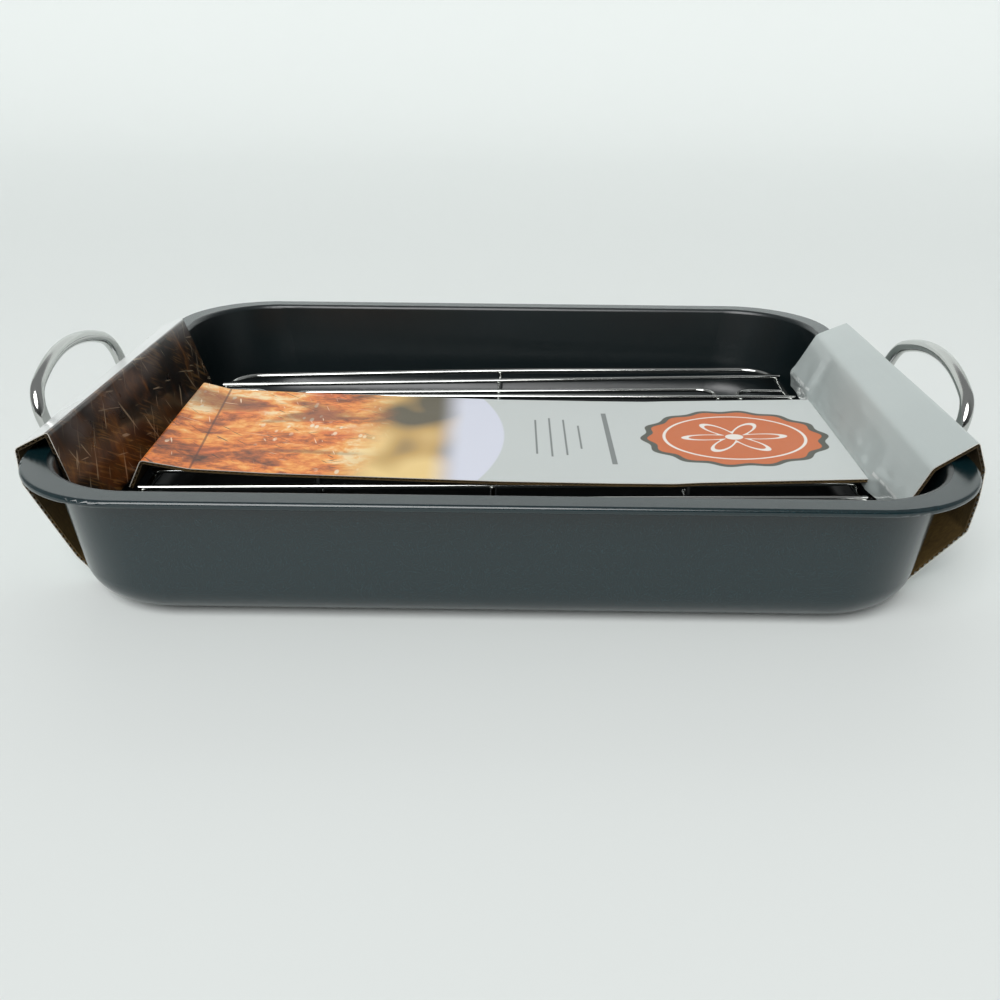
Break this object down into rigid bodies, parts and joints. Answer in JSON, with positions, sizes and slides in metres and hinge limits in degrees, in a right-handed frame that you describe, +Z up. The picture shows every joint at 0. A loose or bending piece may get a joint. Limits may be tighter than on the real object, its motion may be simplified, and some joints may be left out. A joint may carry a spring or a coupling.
{
  "type": "roasting pan with rack",
  "caption": "Rectangular non-stick roasting pan with folding bail handles, a lift-out wire rack and a card sales sleeve folded round it.",
  "frame": {"origin": "under the middle of the object, on the surface that it stands on", "axes": "+X along the pan's length to the right, +Y to the back, +Z up"},
  "size_m": [0.4208, 0.29, 0.0734],
  "materials": {
    "pan_nonstick": "satin non-stick coating",
    "rack_chrome": "bright chrome plate",
    "handle_chrome": "bright chrome plate",
    "bracket_steel": "zinc plated steel strap",
    "rivet_steel": "plain steel rivet",
    "card_printed": "glossy laminate over corrugated board",
    "card_kraft": "brown kraft corrugated board"
  },
  "bodies": {
    "pan": {"bracket_left_front": "bracket_steel", "bracket_left_rear": "bracket_steel", "bracket_right_front": "bracket_steel", "bracket_right_rear": "bracket_steel", "bracket_rivets": "rivet_steel", "pan": "pan_nonstick", "sleeve_base_band": "card_kraft"},
    "handle_left": {"handle_left": "handle_chrome"},
    "handle_right": {"handle_right": "handle_chrome"},
    "rack": {"rack_cross_wire": "rack_chrome", "rack_end_loop_left": "rack_chrome", "rack_end_loop_right": "rack_chrome", "rack_foot_left": "rack_chrome", "rack_foot_right": "rack_chrome", "rack_inner_loop": "rack_chrome", "rack_long_wire_1": "rack_chrome", "rack_long_wire_10": "rack_chrome", "rack_long_wire_2": "rack_chrome", "rack_long_wire_3": "rack_chrome", "rack_long_wire_4": "rack_chrome", "rack_long_wire_5": "rack_chrome", "rack_long_wire_6": "rack_chrome", "rack_long_wire_7": "rack_chrome", "rack_long_wire_8": "rack_chrome", "rack_long_wire_9": "rack_chrome", "rack_ring": "rack_chrome"},
    "top_card": {"sleeve_top_card": "card_printed"}
  },
  "joints": [
    {"name": "handle_left_fold", "type": "hinge", "parent": "pan", "child": "handle_left", "pos_m": [-0.199, 0, 0.04], "axis": [0, -1, 0], "range_deg": [-8, 150]},
    {"name": "handle_right_fold", "type": "hinge", "parent": "pan", "child": "handle_right", "pos_m": [0.199, 0, 0.04], "axis": [0, 1, 0], "range_deg": [-8, 150]},
    {"name": "rack_lift", "type": "slide", "parent": "pan", "child": "rack", "axis": [0, 0, 1], "range_m": [0, 0.12]},
    {"name": "top_card_lift", "type": "slide", "parent": "rack", "child": "top_card", "axis": [0, 0, 1], "range_m": [0, 0.08]}
  ]
}
